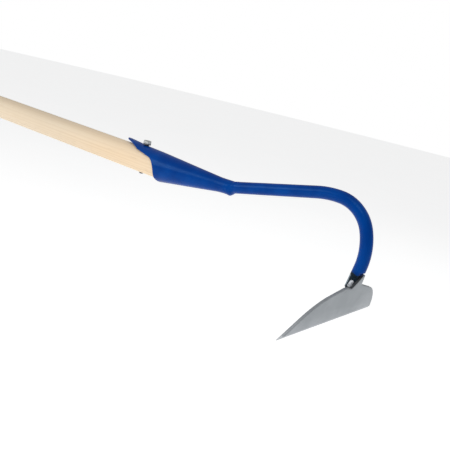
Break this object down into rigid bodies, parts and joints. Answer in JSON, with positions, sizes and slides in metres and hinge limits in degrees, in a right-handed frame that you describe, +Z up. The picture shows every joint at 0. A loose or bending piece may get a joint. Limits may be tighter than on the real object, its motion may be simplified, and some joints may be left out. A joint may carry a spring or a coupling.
{
  "type": "draw hoe",
  "caption": "Long-handled swan-neck draw hoe with a round ash pole, a rolled sheet socket, a bent bar neck and a flat pointed one-sided blade.",
  "frame": {"origin": "on the handle's axis, just outside the tip of the socket's tongue", "axes": "+X along the handle towards the head, +Z up in the plane of the neck, -Y towards the blade's tip"},
  "size_m": [1.5964, 0.171, 0.1097],
  "materials": {
    "ash_wood": "fine sanded ash, unvarnished, long straight grain",
    "blue_enamel": "gloss enamel, deep blue",
    "blue_enamel_bar": "gloss enamel, deep blue, burnt black at the blade's end",
    "zinc_plate": "dull zinc plate",
    "blade_steel": "satin rolled steel, ground along the edge",
    "weld_metal": "bare weld metal"
  },
  "bodies": {
    "root": {"handle": "ash_wood", "socket": "blue_enamel", "neck": "blue_enamel_bar", "neck_weld": "blue_enamel", "handle_screw": "zinc_plate", "blade": "blade_steel", "blade_weld_tip_side": "weld_metal", "blade_weld_heel_side": "weld_metal"}
  },
  "joints": []
}
